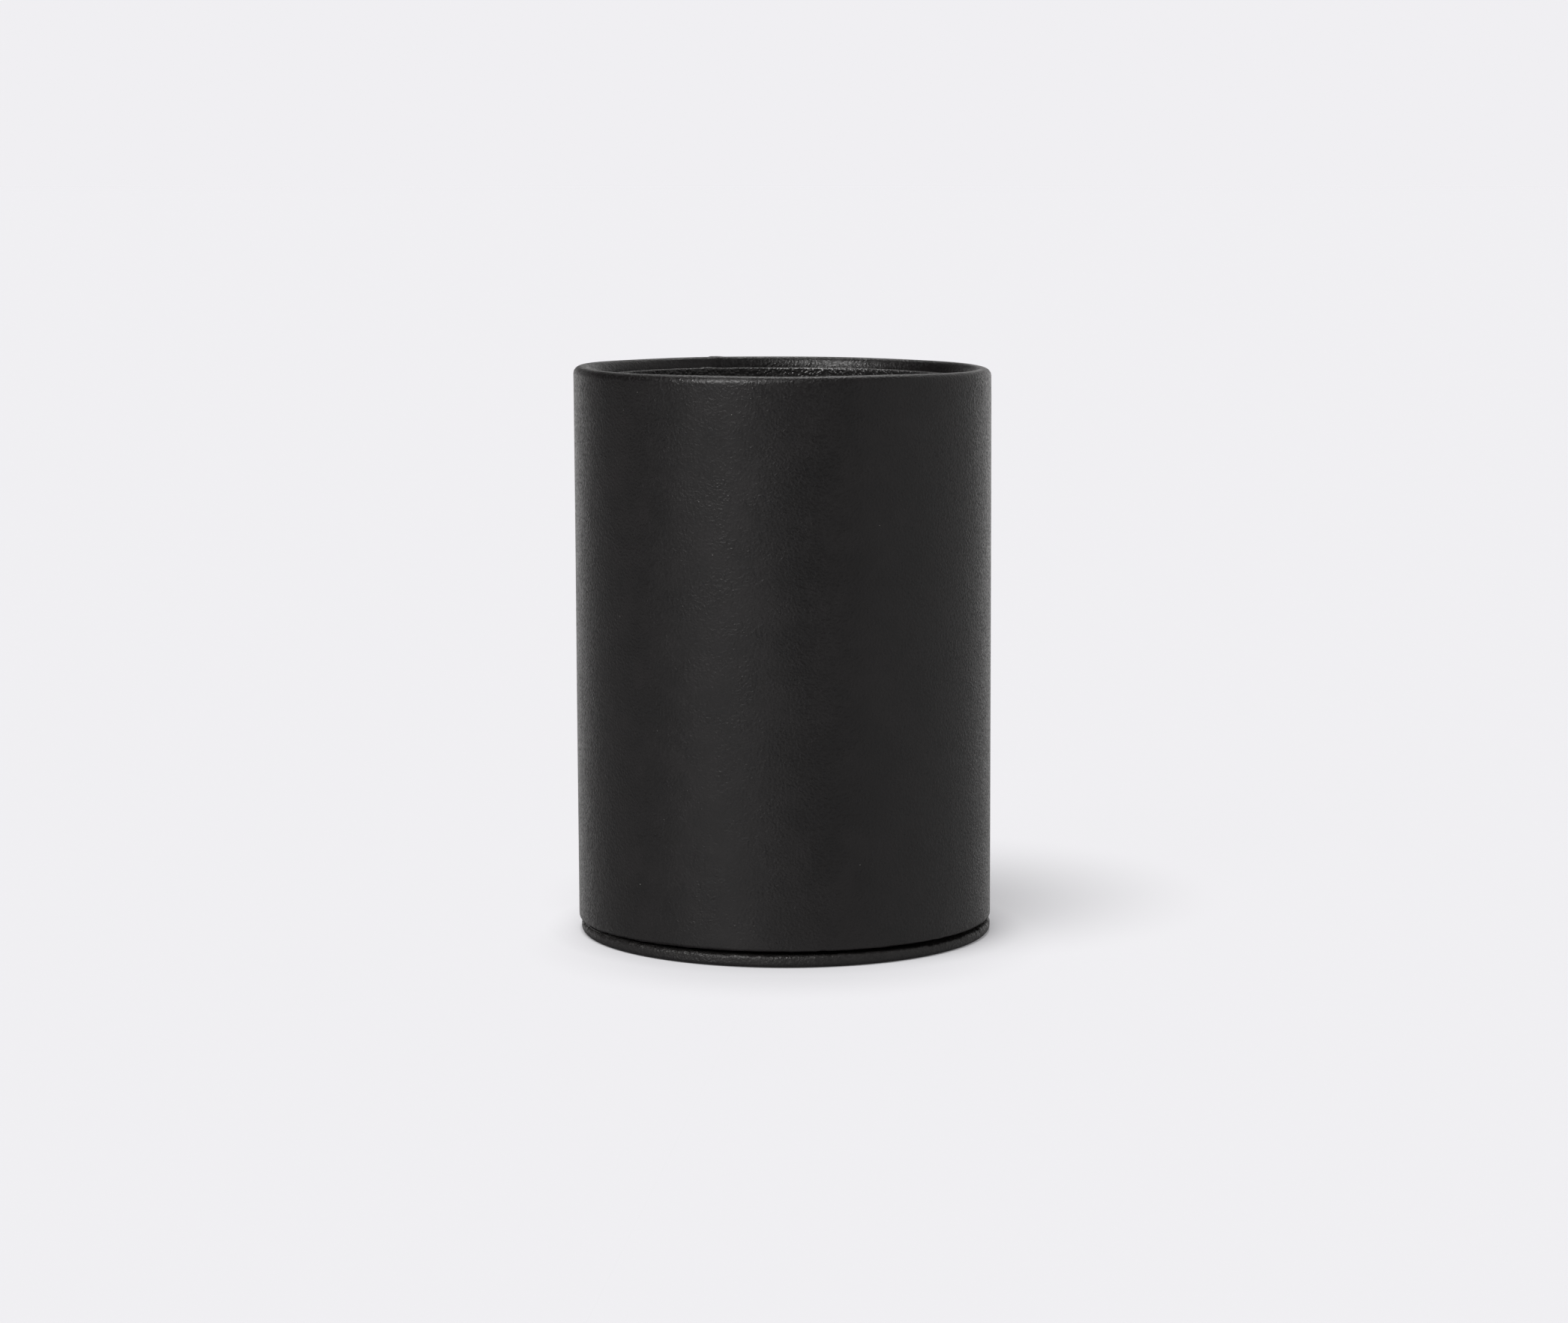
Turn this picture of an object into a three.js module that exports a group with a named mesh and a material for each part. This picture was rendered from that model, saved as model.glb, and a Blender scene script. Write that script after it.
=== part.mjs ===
import * as THREE from 'three';

// A leather dice cup. A board tube is wrapped in leather that turns in over the rim and under the
// foot. A lining of leather on card slides inside it and ends just below the rim, a leather-covered
// card disc makes the floor, and a leather-covered base disc is glued underneath.
// Millimetres, +Z up. The origin is the centre of the underside, where the cup stands.

// ---- Driving dimensions ----
const CUP_RADIUS = 40;
const CUP_HEIGHT = 109;
const GLUE = 0.1; // glue line between layers that are stuck together

const BASE_RADIUS = 39.7;
const BASE_HEIGHT = 2.6;
const BASE_LEATHER = 0.7;
const BASE_TURN_IN = 0.4; // skived leather folded over the top of the base board
const BASE_TURN_IN_REACH = 10.7;
const BASE_LOWER_ROUND = 0.9;
const BASE_UPPER_ROUND = 0.7;
const BASE_EDGE_DROP = 0.25; // the top falls this far towards its edge, which opens a groove
const BASE_EDGE_WIDTH = 3;

const WRAP_LEATHER = 0.9;
const WRAP_FOOT_LEATHER = 0.7; // skived where it folds under the foot
const WRAP_FOOT_REACH = 12;
const WRAP_FOOT_ROUND = 0.7;
const WRAP_FOOT_LIFT = 0.35; // the fold rises this far towards the wall, on the groove's other side
const WRAP_FOOT_LIFT_WIDTH = 4;
const RIM_OUTER_ROUND = 1.4;
const RIM_INNER_ROUND = 1.6; // the inner edge is rolled to an ellipse, this far across the rim
const RIM_INNER_DROP = 2.5; // and this far down the mouth
const RIM_TURN_IN = 0.5; // skived leather folded down inside the mouth
const RIM_TURN_IN_DEPTH = 14.8;
const SKIVE_LENGTH = 1.5; // the turned-in edge thins to a feather over this length

const TUBE_WALL = 2;
const TUBE_RIM_BEVEL = 0.7; // on the tube's inner top edge, where the leather rolls over it
const TUBE_FOOT_BEVEL = 0.5; // on its outer bottom edge
const BOTTOM_BOARD = 2;
const LINER_CARD = 0.9;
const LINER_LEATHER = 0.6;
const LINER_BELOW_RIM = 2;
const LINER_CAP = 0.7; // leather folded over the top edge of the liner card
const LINER_TOP_ROUND = 0.3;
const FLOOR_CARD = 1;
const FLOOR_LEATHER = 0.8;
const FLOOR_TURN_UNDER = 0.5;
const FLOOR_TURN_UNDER_REACH = 7.6;
const FLOOR_ROUND = 0.5;

const SEGMENTS = 64; // round the cup
const ROUND_STEPS = 3; // along each rounded edge

// ---- Heights and radii that follow from them ----
const bodyBottom = BASE_HEIGHT + GLUE;
const tubeBottom = bodyBottom + WRAP_FOOT_LEATHER + GLUE;
const tubeTop = CUP_HEIGHT - WRAP_LEATHER - GLUE;
const tubeOuter = CUP_RADIUS - WRAP_LEATHER - GLUE;
const tubeInner = tubeOuter - TUBE_WALL;
const mouthRadius = tubeInner - GLUE - RIM_TURN_IN;

const insideBottom = tubeBottom + BOTTOM_BOARD + GLUE;
const linerCardOuter = mouthRadius - GLUE;
const linerCardInner = linerCardOuter - LINER_CARD;
const linerOuter = linerCardInner - GLUE;
const wellRadius = linerOuter - LINER_LEATHER;
const linerTop = CUP_HEIGHT - LINER_BELOW_RIM;
const linerCardTop = linerTop - LINER_CAP - GLUE;

const floorRadius = wellRadius - GLUE;
const floorCardBottom = insideBottom + FLOOR_TURN_UNDER + GLUE;
const floorCardTop = floorCardBottom + FLOOR_CARD;
const floorTop = floorCardTop + GLUE + FLOOR_LEATHER;

// ---- Finishes ----
function finish(color, roughness) {
  return new THREE.MeshStandardMaterial({ color, roughness, metalness: 0 });
}

function coverLeather() {
  return finish(0x1f1e1e, 0.55);
}

function liningLeather() {
  return finish(0x181818, 0.42);
}

function greyboard() {
  return finish(0x8c857a, 0.92);
}

function liningCard() {
  return finish(0xb3aa98, 0.9);
}

// ---- Turning ----
// An outline is a list of [radius, height] points that runs anticlockwise. A rounded edge is a quarter
// circle, or a quarter ellipse where it rises by more than its size.

function round(radius, height, size, fromDegrees, toDegrees, rise = size) {
  const points = [];
  for (let step = 0; step <= ROUND_STEPS; step += 1) {
    const angle = THREE.MathUtils.degToRad(
      THREE.MathUtils.lerp(fromDegrees, toDegrees, step / ROUND_STEPS)
    );
    points.push([radius + size * Math.cos(angle), height + rise * Math.sin(angle)]);
  }
  return points;
}

function turn(name, outline, material) {
  const points = outline.map(([radius, height]) => new THREE.Vector2(radius, height));
  const geometry = new THREE.LatheGeometry(points, SEGMENTS);
  geometry.rotateX(Math.PI / 2); // the lathe turns about Y, and the cup stands along Z
  const mesh = new THREE.Mesh(geometry, material);
  mesh.name = name;
  return mesh;
}

function disc(name, radius, bottom, thickness, material) {
  const top = bottom + thickness;
  const outline = [[0, bottom], [radius, bottom], [radius, top], [0, top]];
  return turn(name, outline, material);
}

// ---- Base disc ----

function baseWrap() {
  const inside = BASE_RADIUS - BASE_LEATHER - GLUE;
  const turnInEdge = BASE_RADIUS - BASE_TURN_IN_REACH;
  const underTurnIn = BASE_HEIGHT - BASE_TURN_IN;
  const edgeHeight = BASE_HEIGHT - BASE_EDGE_DROP;
  const outline = [
    [0, 0],
    ...round(BASE_RADIUS - BASE_LOWER_ROUND, BASE_LOWER_ROUND, BASE_LOWER_ROUND, -90, 0),
    ...round(BASE_RADIUS - BASE_UPPER_ROUND, edgeHeight - BASE_UPPER_ROUND, BASE_UPPER_ROUND, 0, 90),
    [BASE_RADIUS - BASE_EDGE_WIDTH, BASE_HEIGHT],
    [turnInEdge, BASE_HEIGHT],
    [turnInEdge, underTurnIn],
    [inside, underTurnIn],
    [inside, BASE_LEATHER],
    [0, BASE_LEATHER],
  ];
  return turn('base_wrap', outline, coverLeather());
}

function baseBoard() {
  const bottom = BASE_LEATHER + GLUE;
  const thickness = BASE_HEIGHT - BASE_TURN_IN - GLUE - bottom;
  const radius = BASE_RADIUS - BASE_LEATHER - 2 * GLUE;
  return disc('base_board', radius, bottom, thickness, greyboard());
}

// ---- Body ----

// The cover is one sheet, lapped up the back into a sleeve, so it is turned as a closed ring.
function outerWrap() {
  const footEdge = CUP_RADIUS - WRAP_FOOT_REACH;
  const footTop = bodyBottom + WRAP_FOOT_LEATHER;
  const footRoundHeight = bodyBottom + WRAP_FOOT_LIFT + WRAP_FOOT_ROUND;
  const turnInBottom = CUP_HEIGHT - RIM_TURN_IN_DEPTH;
  const turnInBack = tubeInner - GLUE;
  const underRim = CUP_HEIGHT - WRAP_LEATHER;
  const rimInner = mouthRadius + RIM_INNER_ROUND;
  const insideWall = CUP_RADIUS - WRAP_LEATHER;
  const outline = [
    [footEdge, bodyBottom],
    [CUP_RADIUS - WRAP_FOOT_LIFT_WIDTH, bodyBottom],
    ...round(CUP_RADIUS - WRAP_FOOT_ROUND, footRoundHeight, WRAP_FOOT_ROUND, -90, 0),
    ...round(CUP_RADIUS - RIM_OUTER_ROUND, CUP_HEIGHT - RIM_OUTER_ROUND, RIM_OUTER_ROUND, 0, 90),
    ...round(rimInner, CUP_HEIGHT - RIM_INNER_DROP, RIM_INNER_ROUND, 90, 180, RIM_INNER_DROP),
    [mouthRadius, turnInBottom + SKIVE_LENGTH],
    [turnInBack - RIM_TURN_IN / 3, turnInBottom],
    [turnInBack, turnInBottom],
    [turnInBack, underRim - TUBE_RIM_BEVEL],
    [turnInBack + TUBE_RIM_BEVEL, underRim],
    [insideWall, underRim],
    [insideWall, footTop + TUBE_FOOT_BEVEL],
    [insideWall - TUBE_FOOT_BEVEL, footTop],
    [footEdge, footTop],
    [footEdge, bodyBottom],
  ];
  return turn('outer_wrap', outline, coverLeather());
}

function wallTube() {
  const outline = [
    [tubeInner, tubeBottom],
    [tubeOuter - TUBE_FOOT_BEVEL, tubeBottom],
    [tubeOuter, tubeBottom + TUBE_FOOT_BEVEL],
    [tubeOuter, tubeTop],
    [tubeInner + TUBE_RIM_BEVEL, tubeTop],
    [tubeInner, tubeTop - TUBE_RIM_BEVEL],
    [tubeInner, tubeBottom],
  ];
  return turn('wall_tube', outline, greyboard());
}

function bottomBoard() {
  return disc('bottom_board', tubeInner - GLUE, tubeBottom, BOTTOM_BOARD, greyboard());
}

// ---- Lining ----

function linerCard() {
  const outline = [
    [linerCardInner, insideBottom],
    [linerCardOuter, insideBottom],
    [linerCardOuter, linerCardTop],
    [linerCardInner, linerCardTop],
    [linerCardInner, insideBottom],
  ];
  return turn('liner_card', outline, liningCard());
}

function linerLeather() {
  const capBottom = linerTop - LINER_CAP;
  const roundHeight = linerTop - LINER_TOP_ROUND;
  const outline = [
    [wellRadius, insideBottom],
    [linerOuter, insideBottom],
    [linerOuter, capBottom],
    [linerCardOuter, capBottom],
    ...round(linerCardOuter - LINER_TOP_ROUND, roundHeight, LINER_TOP_ROUND, 0, 90),
    ...round(wellRadius + LINER_TOP_ROUND, roundHeight, LINER_TOP_ROUND, 90, 180),
    [wellRadius, insideBottom],
  ];
  return turn('liner_leather', outline, liningLeather());
}

function floorCard() {
  const radius = floorRadius - FLOOR_LEATHER;
  return disc('floor_card', radius, floorCardBottom, FLOOR_CARD, liningCard());
}

function floorLeather() {
  const underCard = floorTop - FLOOR_LEATHER;
  const inside = floorRadius - FLOOR_LEATHER + GLUE;
  const turnUnderEdge = floorRadius - FLOOR_TURN_UNDER_REACH;
  const turnUnderTop = insideBottom + FLOOR_TURN_UNDER;
  const outline = [
    [0, underCard],
    [inside, underCard],
    [inside, turnUnderTop],
    [turnUnderEdge, turnUnderTop],
    [turnUnderEdge, insideBottom],
    ...round(floorRadius - FLOOR_ROUND, insideBottom + FLOOR_ROUND, FLOOR_ROUND, -90, 0),
    ...round(floorRadius - FLOOR_ROUND, floorTop - FLOOR_ROUND, FLOOR_ROUND, 0, 90),
    [0, floorTop],
  ];
  return turn('floor_leather', outline, liningLeather());
}

// ---- Assembly ----

const cup = new THREE.Group();
cup.add(baseWrap(), baseBoard());
cup.add(outerWrap(), wallTube(), bottomBoard());
cup.add(linerCard(), linerLeather(), floorCard(), floorLeather());

export default cup;
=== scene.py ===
"""A black leather dice cup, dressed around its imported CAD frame.

The board and card inside stay as the frame's own nodes and get their finish here. Each leather skin is
rebuilt as a finer closed shell in the same place, with its laps, pleats and hand-made unevenness, and
takes a procedural leather. Metres, +Z up; angles round the cup run from the front (-Y) towards +X.
"""
import math

import bpy
import numpy as np
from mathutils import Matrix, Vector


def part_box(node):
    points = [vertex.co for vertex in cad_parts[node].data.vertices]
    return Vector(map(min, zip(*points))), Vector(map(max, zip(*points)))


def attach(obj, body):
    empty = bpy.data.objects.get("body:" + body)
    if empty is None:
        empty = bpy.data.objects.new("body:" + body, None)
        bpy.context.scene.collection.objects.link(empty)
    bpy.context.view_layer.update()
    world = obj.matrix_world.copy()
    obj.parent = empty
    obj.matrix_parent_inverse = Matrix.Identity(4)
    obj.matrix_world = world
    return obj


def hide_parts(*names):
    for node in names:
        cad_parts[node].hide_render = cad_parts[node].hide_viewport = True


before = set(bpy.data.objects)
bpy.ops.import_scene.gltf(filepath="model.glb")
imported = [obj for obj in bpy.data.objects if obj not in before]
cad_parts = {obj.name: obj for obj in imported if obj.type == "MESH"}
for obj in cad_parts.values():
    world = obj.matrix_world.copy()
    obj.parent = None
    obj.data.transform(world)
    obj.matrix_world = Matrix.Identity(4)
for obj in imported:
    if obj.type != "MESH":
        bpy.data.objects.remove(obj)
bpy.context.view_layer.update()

MM = 0.001
GLUE = 0.1 * MM  # the glue line that the frame leaves between layers


# ---- Sizes read from the frame ----

def radius_of(node):
    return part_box(node)[1].x


def bottom_of(node):
    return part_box(node)[0].z


def top_of(node):
    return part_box(node)[1].z


CUP_RADIUS = radius_of("outer_wrap")
CUP_TOP = top_of("outer_wrap")
BODY_BOTTOM = bottom_of("outer_wrap")
TUBE_OUTER = radius_of("wall_tube")
TUBE_INNER = radius_of("bottom_board") + GLUE
MOUTH_RADIUS = radius_of("liner_card") + GLUE
WELL_RADIUS = radius_of("floor_leather") + GLUE

# ---- Sizes of the leather work ----
FOOT_ROUND = 0.7 * MM
FOOT_LIFT = 0.35 * MM  # the fold rises this far towards the wall
FOOT_LIFT_WIDTH = 4 * MM
TUBE_FOOT_BEVEL = 0.5 * MM
FOOT_REACH = 12 * MM
RIM_OUTER_ROUND = 1.4 * MM
RIM_INNER_ROUND = 1.6 * MM  # across the rim
RIM_INNER_DROP = 2.5 * MM  # down the mouth
TUBE_RIM_BEVEL = 0.7 * MM
TURN_IN_DEPTH = 14.8 * MM
LINER_LEATHER = 0.6 * MM
LEDGE_ROUND = 0.3 * MM
BASE_LOWER_ROUND = 0.9 * MM
BASE_UPPER_ROUND = 0.7 * MM
BASE_EDGE_DROP = 0.25 * MM  # the top falls this far towards its edge
BASE_EDGE_WIDTH = 3 * MM
BASE_SHIFT = 0.2 * MM  # how far the base disc sits to +X of the body's foot
BASE_TURN_IN_REACH = 10.7 * MM
BASE_PLEAT_RISE = 0.12 * MM  # no pleat stands higher, so that none reaches the body's foot
FLOOR_ROUND = 0.5 * MM
FLOOR_REACH = 7.6 * MM

COVER_SEAM = math.radians(201.8)  # where the cover's lap runs up the back
LINER_SEAM = math.radians(206.6)
LAP_RISE = 0.12 * MM  # how far the lapped edge stands proud
LAP_WIDTH = 3.2 * MM
LAP_FLAT = 0.4  # the share of its width over which it is flat
LAP_EDGE = 0.8 * MM  # the drop at its edge runs over this width
LAP_CREASE_WIDTH = 0.3 * MM
LAP_CREASE_SHARE = 0.2  # the crease's depth as a share of the rise
LEAN = 0.44 * MM  # how far the foot stands to +X of the mouth
RIM_SLOPE = 0.22 * MM  # how far the rim drops from the axis to its +X side
RIM_LIFT = 0.35 * MM  # how far it stands up at the front, a little to +X
RIM_LIFT_PLACE = math.radians(18)
RIM_LIFT_WIDTH = math.radians(55)
FOOT_SAG = 0.45 * MM  # how far the foot's edge and the disc's top sink at the sides
FOOT_SAG_BIAS = 0.15 * MM  # how much more they sink on the -X side, and less on the +X side
FOOT_SAG_REACH = 12 * MM  # above the body's bottom, where it has faded out
SETTLE_POWER = 4  # how suddenly the unevenness comes in, towards the rim and towards the sides
RIM_UNEVEN_REACH = 6 * MM  # the rim's own waver and pleats fade out this far below the top
RIM_LAND = 2.2 * MM  # from the outside of the rim to where the turned-in pleats start
FOOT_PLEAT_REACH = 1.6 * MM  # the foot's pleats fade out this far above the body's bottom
TURN_IN_WORKED = 4.5 * MM  # the turned-in leather keeps its relief this far down the mouth
LEDGE_REACH = 5 * MM  # the lining's finer rows and its edge creases run this far down
FLOOR_CROWN = 0.1 * MM  # how far the middle of the inner floor rises
BASE_PLEATS_FROM = 0.45  # the share of the disc's height at which its pleats start
BASE_WAVER_TO = 0.5  # and the share at which its wavering side is at its fullest

# The mesh of a lapped skin has extra columns by the lap's edge, at these distances from it.
SEAM_COLUMNS = np.array([-3.2, -2.4, -1.6, -0.8, -0.4, -0.2, 0.0, 0.1, 0.2, 0.4, 0.8]) * MM
SEAM_OFFSET = 1e-5  # radians, so that none of them falls on another column
SHARP_EDGE = math.radians(60)  # a skin is shaded smooth across any gentler edge
SAME_POINT = 1e-7  # metres


# ---- Sections and the shells turned from them ----

class Section:
    """An outline of radius and height that runs anticlockwise. Each point has a share of the surface
    relief: 0 where the leather is glued down or lies flat, up to 1 on the faces that show most."""

    def __init__(self, radius, height, relief=0.0):
        self.points = [(radius, height)]
        self.relief = [relief]

    def line(self, radius, height, step, relief=0.0):
        """A straight run to (radius, height), with points about a step apart."""
        start = self.points[-1]
        length = math.hypot(radius - start[0], height - start[1])
        count = max(1, round(length / step))
        for i in range(1, count + 1):
            share = i / count
            point = (start[0] + (radius - start[0]) * share, start[1] + (height - start[1]) * share)
            self.points.append(point)
            self.relief.append(relief)

    def round(self, radius, height, size, start, stop, count, relief=0.0, rise=None):
        """An arc about (radius, height), from start to stop in degrees, or part of an ellipse if its rise
        isn't its size. A first point that is already there isn't added again."""
        rise = size if rise is None else rise
        for i in range(count + 1):
            angle = math.radians(start + (stop - start) * i / count)
            point = (radius + size * math.cos(angle), height + rise * math.sin(angle))
            if math.dist(point, self.points[-1]) > SAME_POINT:
                self.points.append(point)
                self.relief.append(relief)


def angles_round(count, seams=()):
    """Evenly spread angles for a mesh's columns, with closer ones at each seam's edge."""
    spread = [2 * math.pi * i / count for i in range(count)]
    for seam in seams:
        spread.extend(seam + SEAM_COLUMNS / CUP_RADIUS + SEAM_OFFSET)
    return np.array(sorted(spread))


def section_normals(points, closed):
    """Outward unit normals of an anticlockwise outline."""
    if closed:
        along = np.roll(points, -1, 0) - np.roll(points, 1, 0)
    else:
        along = np.gradient(points, axis=0)
    normals = np.stack([along[:, 1], -along[:, 0]], 1)
    return normals / np.linalg.norm(normals, axis=1, keepdims=True)


def settle(angle, x, z):
    """The lean, the uneven rim height and the sunken foot that the glued-up cup has as a whole."""
    up = z / CUP_TOP
    high = np.exp(-((arc_from(angle, RIM_LIFT_PLACE, 1) / RIM_LIFT_WIDTH) ** 2))
    side = x / CUP_RADIUS
    sag = (FOOT_SAG - FOOT_SAG_BIAS * side) * side ** SETTLE_POWER
    sag = sag * ease(z, 0, BODY_BOTTOM) * (1 - ease(z, BODY_BOTTOM + MM, BODY_BOTTOM + FOOT_SAG_REACH))
    return LEAN * (0.5 - up), (RIM_LIFT * high - RIM_SLOPE * side) * up ** SETTLE_POWER - sag


def turn(name, section, angles, relief, shift=0.0):
    """Turns a section about Z into one closed mesh. relief(angle, radius, height) gives the raised or
    sunk amount, shift moves the shown faces to +X, and where a section starts and ends on the axis the
    mesh closes there."""
    points = np.array(section.points)
    on_axis = points[0, 0] == 0
    share = np.array(section.relief)[:, None]
    normals = section_normals(points, not on_axis)
    radius, height = points[:, :1], points[:, 1:]
    raised = relief(angles[None, :], radius, height) * share
    r = radius + raised * normals[:, :1]
    z = height + raised * normals[:, 1:] + 0 * angles[None, :]
    x, y = r * np.sin(angles) + shift * share, -r * np.cos(angles)
    shift_x, shift_z = settle(angles[None, :], x, z)
    grid = np.stack([x + shift_x * share, y, z + shift_z * share], -1)
    rows, columns = len(points), len(angles)
    if on_axis:
        poles = grid[[0, -1]].mean(1)
        grid = grid[1:-1]
        rows -= 2
    index = np.arange(rows * columns).reshape(rows, columns)
    upper = np.roll(index, -1, 0) if not on_axis else index[1:]
    lower = index if not on_axis else index[:-1]
    quads = np.stack([lower, np.roll(lower, -1, 1), np.roll(upper, -1, 1), upper], -1).reshape(-1, 4)
    vertices = grid.reshape(-1, 3)
    faces = quads.tolist()
    if on_axis:
        first, last = len(vertices), len(vertices) + 1
        vertices = np.vstack([vertices, poles])
        faces += [[first, b, a] for a, b in zip(index[0], np.roll(index[0], -1))]
        faces += [[last, a, b] for a, b in zip(index[-1], np.roll(index[-1], -1))]
    mesh = bpy.data.meshes.new(name)
    mesh.from_pydata(vertices.tolist(), [], faces)
    mesh.validate()
    mesh.shade_smooth()
    mesh.set_sharp_from_angle(angle=SHARP_EDGE)
    piece = bpy.data.objects.new(name, mesh)
    bpy.context.scene.collection.objects.link(piece)
    return piece


# ---- Relief: what hand work leaves on a leather skin ----

def waves(angle, height, seed, count, most_round, shortest, strength):
    """Gentle unevenness: a sum of seeded waves, whole numbers of them round the cup."""
    random = np.random.default_rng(seed)
    total = 0.0
    for _ in range(count):
        turns = random.integers(1, most_round + 1)
        rise = random.uniform(-1, 1) * 2 * math.pi / shortest
        phase = random.uniform(0, 2 * math.pi)
        total = total + np.cos(turns * angle + rise * height + phase)
    return strength * total / math.sqrt(count)


def arc_from(angle, place, radius):
    """Signed distance round the cup from an angle."""
    return ((angle - place + math.pi) % (2 * math.pi) - math.pi) * radius


def ease(value, start, stop):
    """A smooth rise from 0 at start to 1 at stop."""
    share = np.clip((value - start) / (stop - start), 0, 1)
    return share * share * (3 - 2 * share)


def lap(angle, seam, radius):
    """The step of a skived lap: it rises slowly, stands proud, and drops at its edge to a fine crease."""
    distance = arc_from(angle, seam, radius)
    step = ease(distance, -LAP_WIDTH, -LAP_FLAT * LAP_WIDTH) * (1 - ease(distance, 0, LAP_EDGE))
    crease = np.exp(-(((distance - LAP_EDGE) / LAP_CREASE_WIDTH) ** 2))
    return LAP_RISE * (step - LAP_CREASE_SHARE * crease)


def creases(angle, radius, seed, count, width, depth):
    """Narrow pleats at random places round an edge, some ridges and some furrows."""
    random = np.random.default_rng(seed)
    total = 0.0
    for _ in range(count):
        place = random.uniform(0, 2 * math.pi)
        across = width * random.uniform(0.6, 1.5)
        height = depth * random.uniform(-1, 0.8)
        total = total + height * np.exp(-((arc_from(angle, place, radius) / across) ** 2))
    return total


# ---- Outer wrap ----

def cover_relief(angle, radius, height):
    wall = waves(angle, height, seed=11, count=9, most_round=5, shortest=60 * MM, strength=0.016 * MM)
    rim = ease(height, CUP_TOP - RIM_UNEVEN_REACH, CUP_TOP)
    waver = waves(angle, height, seed=12, count=8, most_round=9, shortest=30 * MM, strength=0.05 * MM)
    inside = radius < CUP_RADIUS - RIM_LAND
    turn_in = creases(angle, MOUTH_RADIUS, seed=13, count=90, width=0.5 * MM, depth=0.05 * MM)
    foot = 1 - ease(height, BODY_BOTTOM, BODY_BOTTOM + FOOT_PLEAT_REACH)
    pleats = creases(angle, CUP_RADIUS, seed=14, count=120, width=0.6 * MM, depth=0.1 * MM)
    return wall + waver * rim + turn_in * inside * rim + pleats * foot + lap(angle, COVER_SEAM, CUP_RADIUS)


def make_outer_wrap():
    foot_leather = bottom_of("wall_tube") - GLUE
    rim_leather = top_of("wall_tube") + GLUE
    inside_wall = TUBE_OUTER + GLUE
    behind = TUBE_INNER - GLUE
    turn_in_bottom = CUP_TOP - TURN_IN_DEPTH
    worked_to = CUP_TOP - TURN_IN_WORKED
    s = Section(CUP_RADIUS - FOOT_REACH, BODY_BOTTOM)
    s.line(CUP_RADIUS - FOOT_LIFT_WIDTH, BODY_BOTTOM, 3 * MM)
    s.line(CUP_RADIUS - FOOT_ROUND, BODY_BOTTOM + FOOT_LIFT, 0.5 * MM, 0.6)
    s.round(CUP_RADIUS - FOOT_ROUND, BODY_BOTTOM + FOOT_LIFT + FOOT_ROUND, FOOT_ROUND, -90, 0, 8, 1)
    s.line(CUP_RADIUS, CUP_TOP - RIM_OUTER_ROUND, 1.5 * MM, 1)
    s.round(CUP_RADIUS - RIM_OUTER_ROUND, CUP_TOP - RIM_OUTER_ROUND, RIM_OUTER_ROUND, 0, 90, 10, 1)
    s.line(MOUTH_RADIUS + RIM_INNER_ROUND, CUP_TOP, 0.3 * MM, 1)
    s.round(MOUTH_RADIUS + RIM_INNER_ROUND, CUP_TOP - RIM_INNER_DROP, RIM_INNER_ROUND, 90, 180, 12, 1,
            RIM_INNER_DROP)
    s.line(MOUTH_RADIUS, worked_to, 0.3 * MM, 0.7)
    s.line(MOUTH_RADIUS, turn_in_bottom, 3 * MM)
    s.line(behind, turn_in_bottom, MM)
    s.line(behind, rim_leather - TUBE_RIM_BEVEL, 5 * MM)
    s.line(behind + TUBE_RIM_BEVEL, rim_leather, MM)
    s.line(inside_wall, rim_leather, MM)
    s.line(inside_wall, foot_leather + TUBE_FOOT_BEVEL, 10 * MM)
    s.line(inside_wall - TUBE_FOOT_BEVEL, foot_leather, MM)
    s.line(CUP_RADIUS - FOOT_REACH, foot_leather, 4 * MM)
    return turn("outer_wrap_leather", s, angles_round(400, [COVER_SEAM]), cover_relief)


# ---- Lining ----

def liner_relief(angle, radius, height):
    near_top = ease(height, top_of("liner_leather") - LEDGE_REACH, top_of("liner_leather"))
    waver = waves(angle, height, seed=21, count=8, most_round=7, shortest=40 * MM, strength=0.06 * MM)
    edge = creases(angle, WELL_RADIUS, seed=22, count=60, width=0.9 * MM, depth=0.04 * MM)
    return waver + edge * near_top + lap(angle, LINER_SEAM, WELL_RADIUS)


def make_liner_leather():
    bottom, top = bottom_of("liner_leather"), top_of("liner_leather")
    card_top = top_of("liner_card") + GLUE
    card_outer = radius_of("liner_card")
    leather_outer = WELL_RADIUS + LINER_LEATHER
    s = Section(WELL_RADIUS, bottom)
    s.line(leather_outer, bottom, MM)
    s.line(leather_outer, card_top, 10 * MM)
    s.line(card_outer, card_top, MM)
    s.round(card_outer - LEDGE_ROUND, top - LEDGE_ROUND, LEDGE_ROUND, 0, 90, 4, 0.5)
    s.line(WELL_RADIUS + LEDGE_ROUND, top, 0.25 * MM, 1)
    s.round(WELL_RADIUS + LEDGE_ROUND, top - LEDGE_ROUND, LEDGE_ROUND, 90, 180, 4, 1)
    s.line(WELL_RADIUS, top - LEDGE_REACH, 0.4 * MM, 1)
    s.line(WELL_RADIUS, bottom + 3 * MM, 2 * MM, 1)
    s.line(WELL_RADIUS, bottom, 3 * MM)
    return turn("liner_leather_skin", s, angles_round(400, [LINER_SEAM]), liner_relief)


def floor_relief(angle, radius, height):
    out = radius / WELL_RADIUS
    waver = waves(angle, radius, seed=31, count=8, most_round=4, shortest=40 * MM, strength=0.04 * MM)
    return waver * out + FLOOR_CROWN * (1 - out ** 2)


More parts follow.
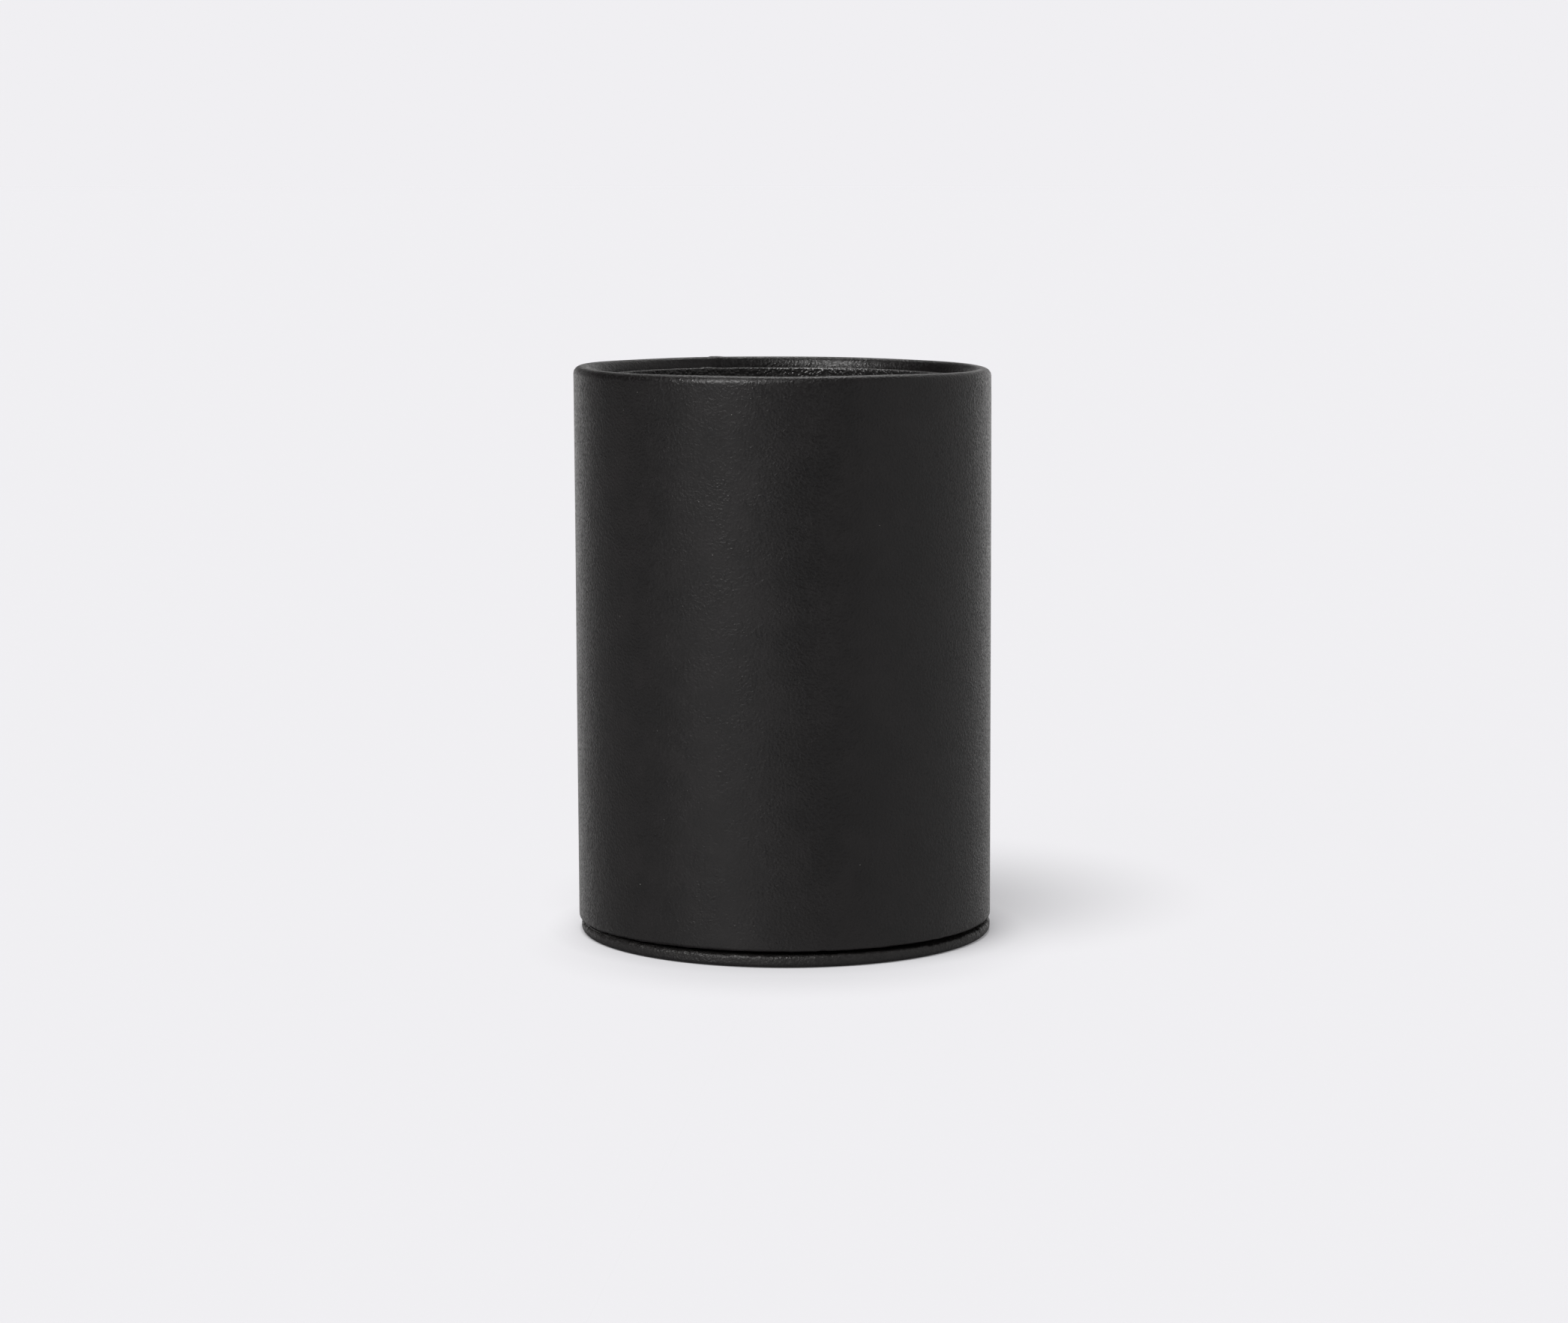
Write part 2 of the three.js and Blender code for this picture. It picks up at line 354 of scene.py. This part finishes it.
def make_floor_leather():
    bottom, top = bottom_of("floor_leather"), top_of("floor_leather")
    outer = radius_of("floor_leather")
    card_top = top_of("floor_card") + GLUE
    card_bottom = bottom_of("floor_card") - GLUE
    inside = radius_of("floor_card") + GLUE
    s = Section(0, card_top)
    s.line(inside, card_top, 6 * MM)
    s.line(inside, card_bottom, MM)
    s.line(outer - FLOOR_REACH, card_bottom, 4 * MM)
    s.line(outer - FLOOR_REACH, bottom, MM)
    s.line(outer - FLOOR_ROUND, bottom, 4 * MM)
    s.round(outer - FLOOR_ROUND, bottom + FLOOR_ROUND, FLOOR_ROUND, -90, 0, 4)
    s.round(outer - FLOOR_ROUND, top - FLOOR_ROUND, FLOOR_ROUND, 0, 90, 5)
    s.line(0, top, 1.5 * MM, 1)
    return turn("floor_leather_skin", s, angles_round(240), floor_relief)


# ---- Base disc ----

def base_relief(angle, radius, height):
    top = top_of("base_wrap")
    upper = ease(height, BASE_PLEATS_FROM * top, top)
    fine = creases(angle, CUP_RADIUS, seed=41, count=170, width=0.4 * MM, depth=0.22 * MM)
    bold = creases(angle, CUP_RADIUS, seed=42, count=40, width=0.7 * MM, depth=0.3 * MM)
    pleats = np.minimum(fine * upper + bold * upper, BASE_PLEAT_RISE)
    waver = waves(angle, height, seed=43, count=8, most_round=8, shortest=20 * MM, strength=0.05 * MM)
    return waver * ease(height, 0, BASE_WAVER_TO * top) + pleats


def make_base_wrap():
    top = top_of("base_wrap")
    outer = radius_of("base_wrap")
    board_outer = radius_of("base_board") + GLUE
    board_top = top_of("base_board") + GLUE
    board_bottom = bottom_of("base_board") - GLUE
    s = Section(0, 0)
    s.line(outer - BASE_LOWER_ROUND, 0, 4 * MM)
    s.round(outer - BASE_LOWER_ROUND, BASE_LOWER_ROUND, BASE_LOWER_ROUND, -90, 0, 12, 1)
    edge = top - BASE_EDGE_DROP
    s.round(outer - BASE_UPPER_ROUND, edge - BASE_UPPER_ROUND, BASE_UPPER_ROUND, 0, 90, 9, 1)
    s.line(outer - BASE_EDGE_WIDTH, top, 0.4 * MM, 0.15)
    s.line(outer - BASE_TURN_IN_REACH, top, 3 * MM)
    s.line(outer - BASE_TURN_IN_REACH, board_top, MM)
    s.line(board_outer, board_top, 4 * MM)
    s.line(board_outer, board_bottom, MM)
    s.line(0, board_bottom, 8 * MM)
    return turn("base_wrap_leather", s, angles_round(720), base_relief, BASE_SHIFT)


# ---- Materials ----

class Nodes:
    """A short way to write a node tree. An input goes by its name, or by its place as i0, i1 and so on."""

    def __init__(self, tree):
        self.tree = tree
        self.tree.nodes.clear()

    def add(self, kind, settings=None, **inputs):
        node = self.tree.nodes.new(kind)
        for key, value in (settings or {}).items():
            setattr(node, key, value)
        for key, value in inputs.items():
            self.put(node, key, value)
        return node

    def put(self, node, key, value):
        socket = node.inputs[int(key[1:])] if key[0] == "i" and key[1:].isdigit() else node.inputs[key]
        if isinstance(value, bpy.types.NodeSocket):
            self.tree.links.new(value, socket)
        else:
            socket.default_value = value

    def math(self, operation, a, b, c=0.0):
        return self.add("ShaderNodeMath", {"operation": operation}, i0=a, i1=b, i2=c).outputs[0]

    def fade(self, value, low, high, to_low=0.0, to_high=1.0):
        """Maps value from low..high to to_low..to_high, smoothly and clamped."""
        node = self.add("ShaderNodeMapRange", {"interpolation_type": "SMOOTHSTEP"}, Value=value)
        for key, number in zip(("From Min", "From Max", "To Min", "To Max"), (low, high, to_low, to_high)):
            node.inputs[key].default_value = number
        return node.outputs[0]

    def mix_color(self, share, a, b):
        node = self.add("ShaderNodeMix", {"data_type": "RGBA"}, i0=share, i6=a, i7=b)
        return node.outputs[2]

    def place(self):
        return self.add("ShaderNodeTexCoord").outputs["Object"]

    def noise(self, place, size, detail=2.0, roughness=0.5):
        """Noise whose features are about size metres across."""
        node = self.add("ShaderNodeTexNoise", Vector=place, Scale=1 / size, Detail=detail,
                        Roughness=roughness)
        return node.outputs[0]

    def stretched(self, place, x, y, z):
        node = self.add("ShaderNodeVectorMath", {"operation": "MULTIPLY"}, i0=place, i1=(x, y, z))
        return node.outputs[0]


def new_material(name, specular=0.5):
    """A material with a principled shader, and the tree and shader to finish it with."""
    material = bpy.data.materials.new(name)
    material.use_nodes = True
    nodes = Nodes(material.node_tree)
    shader = nodes.add("ShaderNodeBsdfPrincipled")
    shader.inputs["Specular IOR Level"].default_value = specular
    output = nodes.add("ShaderNodeOutputMaterial")
    nodes.tree.links.new(shader.outputs[0], output.inputs[0])
    return material, nodes, shader


def pebbles(nodes, place, size):
    """Leather grain: rounded cells, about size metres across, that dip where they meet."""
    bend = nodes.add("ShaderNodeTexNoise", Vector=place, Scale=0.8 / size, Detail=2.0)
    moved = nodes.add("ShaderNodeVectorMath", {"operation": "MULTIPLY_ADD"},
                      i0=bend.outputs["Color"], i1=(0.9 * size,) * 3, i2=place)
    cells = nodes.add("ShaderNodeTexVoronoi", {"feature": "SMOOTH_F1"},
                      Vector=moved.outputs[0], Scale=1 / size, Smoothness=0.35)
    return nodes.fade(cells.outputs["Distance"], 0.15, 0.75, 1, 0)


def specks(nodes, place, spacing, radius, share):
    """Small round flecks or pores, in a share of the cells of a loose grid."""
    cells = nodes.add("ShaderNodeTexVoronoi", {"feature": "F1"}, Vector=place, Scale=1 / spacing)
    chosen = nodes.add("ShaderNodeSeparateColor", i0=cells.outputs["Color"])
    there = nodes.math("LESS_THAN", chosen.outputs[0], share)
    dot = nodes.fade(cells.outputs["Distance"], 0.6 * radius / spacing, radius / spacing, 1, 0)
    return nodes.math("MULTIPLY", dot, there)


# The cover's leather: colours, and the grain and pores with their shares of the bump.
COVER_DARK = (0.0068, 0.006, 0.0062, 1)
COVER_LIGHT = (0.0098, 0.0085, 0.0087, 1)
COVER_GRAIN = 0.5 * MM
COVER_GRAIN_SHARE = 0.2
COVER_BUMP = 0.095 * MM
COVER_ROUGHNESS = (0.34, 0.37)
PORE_SPACING = 0.62 * MM
PORE_RADIUS = 0.2 * MM
PORE_DENSITY = 0.32
PORE_DEPTH = 0.11
PORE_ROUGHNESS = 0.22
HOLLOW_ROUGHNESS = 0.14  # added where the fine grain is low
FLECK_COLOR = (0.22, 0.21, 0.2, 1)
FOOT_GRAIN = 1.9  # how much stronger the grain is on the base disc
# The base disc's pale colour is partly dust in blotches and partly painted light, which grows towards the
# disc's top, in the shade under the body's foot.
DUST_AND_PAINTED_LIGHT_COLOR = (0.027, 0.0255, 0.0248, 1)
DUST_SIZE = 0.9 * MM
DUST_SHARE = (0.4, 1)  # how thickly it lies, from the barest to the dustiest spots of the base disc
DUST_ROUGHNESS = 0.12
PAINTED_LIGHT_HEIGHTS = (-2.4 * MM, -0.9 * MM)  # measured from the body's bottom; between them its colour grows, painted light that lifts the shade below the body's foot
PAINTED_LIGHT_SHARES = (0.1, 0.6)  # from the first of these shares to the second; the growth is painted light, the blotches are dust

# The lining's leather
LINING_DARK = (0.012, 0.0114, 0.0114, 1)
LINING_LIGHT = (0.019, 0.018, 0.018, 1)
LINING_GRAIN = 0.6 * MM
LINING_FINE_GRAIN = 0.35 * MM
LINING_FINE_SHARE = 0.25
LINING_BUMP = 0.085 * MM
LINING_ROUGHNESS = (0.27, 0.34)
LINING_FLECK_COLOR = (0.2, 0.19, 0.18, 1)

BOARD_FLECK_COLOR = (0.09, 0.08, 0.07, 1)


def cover_leather():
    """Smooth black nappa: fine uneven grain, pores, a few pale flecks, and a rougher, dusty base disc with
    painted light towards its top.
    """
    material, nodes, shader = new_material("cover_leather")
    place = nodes.place()
    drift = nodes.noise(place, 7 * MM, detail=4, roughness=0.6)
    patches = nodes.fade(nodes.noise(place, 5 * MM, detail=3), 0.35, 0.65, 0.75, 1.25)
    fine = nodes.noise(place, COVER_GRAIN, detail=1.5)
    grain = pebbles(nodes, place, COVER_GRAIN)
    pores = specks(nodes, place, PORE_SPACING, PORE_RADIUS, PORE_DENSITY)
    height = nodes.math("ADD", fine, nodes.math("MULTIPLY", grain, COVER_GRAIN_SHARE))
    height = nodes.math("SUBTRACT", height, nodes.math("MULTIPLY", pores, PORE_DEPTH))
    height = nodes.math("MULTIPLY", height, patches)
    above_floor = nodes.add("ShaderNodeSeparateXYZ", i0=place).outputs[2]
    foot = nodes.fade(above_floor, BODY_BOTTOM, BODY_BOTTOM + FOOT_LIFT, 1, 0)
    height = nodes.math("MULTIPLY", height, nodes.fade(foot, 0, 1, 1, FOOT_GRAIN))
    bump = nodes.add("ShaderNodeBump", Strength=1.0, Distance=COVER_BUMP, Height=height)
    color = nodes.mix_color(nodes.fade(drift, 0.35, 0.7), COVER_DARK, COVER_LIGHT)
    flecks = specks(nodes, place, spacing=3.4 * MM, radius=0.09 * MM, share=0.3)
    color = nodes.mix_color(flecks, color, FLECK_COLOR)
    blotches = nodes.fade(nodes.noise(place, DUST_SIZE, detail=3), 0.35, 0.65, *DUST_SHARE)
    dust = nodes.math("MULTIPLY", foot, blotches)
    # Painted light: towards the disc's top this colour is mixed in more, lifting the shade under the body's
    # foot.
    lowest, highest = (BODY_BOTTOM + rise for rise in PAINTED_LIGHT_HEIGHTS)
    painted_light = nodes.fade(above_floor, lowest, highest, *PAINTED_LIGHT_SHARES)
    color = nodes.mix_color(nodes.math("MULTIPLY", dust, painted_light), color, DUST_AND_PAINTED_LIGHT_COLOR)
    rough = nodes.fade(drift, 0.3, 0.7, *COVER_ROUGHNESS)
    rough = nodes.math("ADD", rough, nodes.math("MULTIPLY", dust, DUST_ROUGHNESS))
    rough = nodes.math("ADD", rough, nodes.fade(fine, 0.35, 0.6, HOLLOW_ROUGHNESS, 0))
    rough = nodes.math("ADD", rough, nodes.math("MULTIPLY", pores, PORE_ROUGHNESS))
    nodes.put(shader, "Base Color", color)
    nodes.put(shader, "Roughness", rough)
    nodes.put(shader, "Normal", bump.outputs[0])
    return material


def lining_leather():
    """Black pebbled lining: larger, glossier grain."""
    material, nodes, shader = new_material("lining_leather")
    place = nodes.place()
    grain = pebbles(nodes, place, LINING_GRAIN)
    fine = pebbles(nodes, place, LINING_FINE_GRAIN)
    drift = nodes.noise(place, 6 * MM, detail=3)
    height = nodes.math("ADD", grain, nodes.math("MULTIPLY", fine, LINING_FINE_SHARE))
    bump = nodes.add("ShaderNodeBump", Strength=1.0, Distance=LINING_BUMP, Height=height)
    color = nodes.mix_color(nodes.fade(grain, 0, 0.5), LINING_DARK, LINING_LIGHT)
    flecks = specks(nodes, place, spacing=4 * MM, radius=0.1 * MM, share=0.25)
    color = nodes.mix_color(flecks, color, LINING_FLECK_COLOR)
    nodes.put(shader, "Base Color", color)
    nodes.put(shader, "Roughness", nodes.fade(drift, 0.3, 0.7, *LINING_ROUGHNESS))
    nodes.put(shader, "Normal", bump.outputs[0])
    return material


def board(name, pale, dark, fibre):
    """Pressed board or card: fibres, flecks and a soft felted surface."""
    material, nodes, shader = new_material(name, specular=0.2)
    place = nodes.place()
    fibres = nodes.noise(nodes.stretched(place, 1, 1, 0.25), fibre, detail=4, roughness=0.65)
    cloud = nodes.noise(place, 9 * MM, detail=3)
    color = nodes.mix_color(nodes.fade(fibres, 0.3, 0.7), dark, pale)
    color = nodes.mix_color(nodes.fade(cloud, 0.4, 0.8, 0, 0.35), color, dark)
    flecks = specks(nodes, place, spacing=2.2 * MM, radius=0.2 * MM, share=0.4)
    color = nodes.mix_color(flecks, color, BOARD_FLECK_COLOR)
    bump = nodes.add("ShaderNodeBump", Strength=0.7, Distance=0.05 * MM, Height=fibres)
    nodes.put(shader, "Base Color", color)
    nodes.put(shader, "Roughness", nodes.fade(fibres, 0.3, 0.7, 0.84, 0.96))
    nodes.put(shader, "Normal", bump.outputs[0])
    return material


# ---- Stage: pale floor, soft light, camera ----

PAPER = (0.871, 0.863, 0.888, 1)  # the pale floor, which the background matches
SOFTBOXES = {
    # azimuth, half width, lowest and highest elevation, softness in degrees, and strength
    "key": (-36, 4, 22, 66, 8, 16),
    "fill": (110, 70, -6, 50, 8, 0.4),
    "backdrop": (180, 34, -9, 7, 16, 1.5),
    "upper_back": (180, 24, 42, 70, 7, 3.4),
    "table": (40, 100, -90, -3, 6, 0.32),
    "left_wall": (-90, 85, -33, 0, 14, 0.32),
}
SHADOW_LIGHTS = {
    # azimuth, elevation and angular width in degrees, and the share of the floor's brightness it gives
    "front": (-30, 71, 29, 0.46),
    "back": (182, 81, 11, 0.13),
}
WELL_LIGHT = (-30, 74, 40, 2.3)  # the same three angles, and its strength
SOFTBOX_COLOR = (1, 0.99, 0.985, 1)
FLOOR_RADIUS = 20
CONTACT_REACH = 7.6 * MM
CONTACT_DEPTH = 0.19  # how much darker the floor is right against a tall wall
FLOOR_TINT = 0.02  # the floor reflects this share of the light; the rest of its brightness is a glow
FLOOR_SPILL = 0.014  # what it gets from the surroundings besides
# Painted shade: a dim glowing disc that only reflections see, in place of the shaded floor under the cup's
# edge.
PATCH_RADIUS = CUP_RADIUS + 4 * MM
PATCH_HEIGHT = 0.01 * MM
PATCH_EDGE = (CUP_RADIUS - 0.5 * MM, CUP_RADIUS + 1.5 * MM)  # where it starts to fade, and is gone
PATCH_STRENGTH = 0.15  # its brightness as a share of the paper's

LENS = 87.9  # millimetres, like the sensor's width
SENSOR_WIDTH = 36
CAMERA_SIDE = 0.08 * MM
CAMERA_DISTANCE = 18.361 * CUP_RADIUS
CAMERA_HEIGHT = 3.71 * CUP_RADIUS
CAMERA_TILT = 7.472  # degrees down from level
CAMERA_SIGHT = 100  # far enough to take in the whole floor


def make_world():
    """Softboxes all round, which the camera doesn't see; it sees a plain background in the paper's colour."""
    world = bpy.data.worlds.new("studio")
    bpy.context.scene.world = world
    world.use_nodes = True
    nodes = Nodes(world.node_tree)
    direction = nodes.add("ShaderNodeTexCoord").outputs["Generated"]
    level = nodes.stretched(direction, 1, 1, 0)
    flat = nodes.add("ShaderNodeVectorMath", {"operation": "NORMALIZE"}, i0=level)
    up = nodes.add("ShaderNodeSeparateXYZ", i0=direction).outputs[2]
    total = None
    for azimuth, half, low, high, soft, strength in SOFTBOXES.values():
        light = nodes.fade(up, sine(low - soft), sine(low + soft), 0, strength)
        light = nodes.math("MULTIPLY", light, nodes.fade(up, sine(high - soft), sine(high + soft), 1, 0))
        centre = (math.sin(math.radians(azimuth)), -math.cos(math.radians(azimuth)), 0)
        facing = nodes.add("ShaderNodeVectorMath", {"operation": "DOT_PRODUCT"},
                           i0=flat.outputs[0], i1=centre)
        edge = math.cos(math.radians(half + soft)), math.cos(math.radians(max(half - soft, 0)))
        light = nodes.math("MULTIPLY", light, nodes.fade(facing.outputs["Value"], *edge))
        total = light if total is None else nodes.math("ADD", total, light)
    lit = nodes.add("ShaderNodeBackground", Color=SOFTBOX_COLOR, Strength=total)
    seen = nodes.add("ShaderNodeBackground", Color=PAPER, Strength=1.0)
    ray = nodes.add("ShaderNodeLightPath")
    to_camera = ray.outputs["Is Camera Ray"]
    mix = nodes.add("ShaderNodeMixShader", i0=to_camera, i1=lit.outputs[0], i2=seen.outputs[0])
    nodes.add("ShaderNodeOutputWorld", Surface=mix.outputs[0])


def sine(degrees):
    """The height, on a sphere of directions, of an elevation; past straight up or down it runs on."""
    if abs(degrees) <= 90:
        return math.sin(math.radians(degrees))
    return math.copysign(1 + (abs(degrees) - 90) / 90, degrees)


def make_floor():
    """A pale floor, as bright as the background, that takes two soft shadows and a contact shadow.
    Reflections don't show it."""
    bpy.ops.mesh.primitive_circle_add(vertices=64, radius=FLOOR_RADIUS, fill_type="NGON", location=(0, 0, 0))
    floor = bpy.context.object
    floor.name = "floor"
    floor.visible_glossy = False
    material = bpy.data.materials.new("paper_floor")
    material.use_nodes = True
    nodes = Nodes(material.node_tree)
    near = nodes.add("ShaderNodeAmbientOcclusion", {"samples": 8}, Distance=CONTACT_REACH)
    own = 1 - FLOOR_SPILL - sum(share for *_, share in SHADOW_LIGHTS.values())
    glow = nodes.math("MULTIPLY_ADD", near.outputs["AO"], CONTACT_DEPTH, own - CONTACT_DEPTH)
    light = nodes.add("ShaderNodeEmission", Color=PAPER, Strength=glow)
    paper = nodes.add("ShaderNodeBsdfDiffuse", Color=tuple(FLOOR_TINT * c for c in PAPER[:3]) + (1,))
    both = nodes.add("ShaderNodeAddShader", i0=light.outputs[0], i1=paper.outputs[0])
    nodes.add("ShaderNodeOutputMaterial", Surface=both.outputs[0])
    floor.data.materials.append(material)
    return floor


def make_contact_shade_patch():
    """Painted shade: what the leather near the floor reflects, a dim glowing disc for the shaded floor right
    under the cup's edge.
    Only reflections show it."""
    bpy.ops.mesh.primitive_circle_add(vertices=128, radius=PATCH_RADIUS, fill_type="NGON")
    patch = bpy.context.object
    patch.name = "contact_shade_patch"
    patch.location.z = PATCH_HEIGHT
    patch.visible_camera = patch.visible_diffuse = patch.visible_shadow = False
    material = bpy.data.materials.new("painted_contact_shade")
    material.use_nodes = True
    nodes = Nodes(material.node_tree)
    distance = nodes.add("ShaderNodeVectorMath", {"operation": "LENGTH"}, i0=nodes.place()).outputs["Value"]
    share = nodes.fade(distance, *PATCH_EDGE, 1, 0)
    # Painted shade: a dim glow, which the leather's lower edge reflects as the shaded floor.
    dark = nodes.add("ShaderNodeEmission", Color=PAPER, Strength=PATCH_STRENGTH)
    clear = nodes.add("ShaderNodeBsdfTransparent")
    mix = nodes.add("ShaderNodeMixShader", i0=share, i1=clear.outputs[0], i2=dark.outputs[0])
    nodes.add("ShaderNodeOutputMaterial", Surface=mix.outputs[0])
    patch.data.materials.append(material)


def lit_alone(name, objects):
    """A collection for a light that falls on these objects alone."""
    lit = bpy.data.collections.new(name)
    for each in objects:
        lit.objects.link(each)
    return lit


def make_sun(name, azimuth, elevation, width, energy, lit):
    """A broad sun that lights only one collection."""
    data = bpy.data.lights.new(name, "SUN")
    data.energy = energy
    data.angle = math.radians(width)
    light = bpy.data.objects.new(name, data)
    light.rotation_euler = (math.radians(90 - elevation), 0, math.radians(azimuth))
    bpy.context.scene.collection.objects.link(light)
    light.light_linking.receiver_collection = lit


def make_shadow_lights(floor):
    """Two suns on the floor alone. Each gives a share of its brightness, which is missing wherever the
    cup stands in that sun's way."""
    lit = lit_alone("lit_by_shadow_lights", [floor])
    for name, (azimuth, elevation, width, share) in SHADOW_LIGHTS.items():
        energy = math.pi * share / FLOOR_TINT / math.sin(math.radians(elevation))
        make_sun(name + "_shadow_light", azimuth, elevation, width, energy, lit)


def make_well_light(lining_pieces):
    """Light from above that reaches down the mouth, so that the well isn't a black hole."""
    make_sun("well_light", *WELL_LIGHT, lit_alone("lit_by_well_light", lining_pieces))


def make_camera():
    data = bpy.data.cameras.new("camera")
    data.lens = LENS
    data.sensor_width = SENSOR_WIDTH
    data.clip_end = CAMERA_SIGHT
    camera = bpy.data.objects.new("camera", data)
    camera.location = (CAMERA_SIDE, -CAMERA_DISTANCE, CAMERA_HEIGHT)
    camera.rotation_euler = (math.radians(90 - CAMERA_TILT), 0, 0)
    bpy.context.scene.collection.objects.link(camera)
    bpy.context.scene.camera = camera


# ---- Putting it together ----

def dress(piece, node, material):
    """Lets a piece ride on the cup, stand for its CAD node and take its finish."""
    piece.data.materials.clear()
    piece.data.materials.append(material)
    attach(piece, "root")
    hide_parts(node)


def refinish(node, material):
    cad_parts[node].material_slots[0].material = material


make_camera()
make_world()
make_shadow_lights(make_floor())
make_contact_shade_patch()

cover = cover_leather()
lining = lining_leather()
greyboard = board("greyboard", pale=(0.34, 0.31, 0.27, 1), dark=(0.2, 0.18, 0.155, 1), fibre=0.5 * MM)
card = board("lining_card", pale=(0.5, 0.44, 0.36, 1), dark=(0.36, 0.31, 0.25, 1), fibre=0.35 * MM)

dress(make_outer_wrap(), "outer_wrap", cover)
dress(make_base_wrap(), "base_wrap", cover)
lining_pieces = make_liner_leather(), make_floor_leather()
dress(lining_pieces[0], "liner_leather", lining)
dress(lining_pieces[1], "floor_leather", lining)
make_well_light(lining_pieces)
for node in ("wall_tube", "bottom_board", "base_board"):
    refinish(node, greyboard)
for node in ("liner_card", "floor_card"):
    refinish(node, card)

bpy.context.scene.view_settings.view_transform = "Standard"
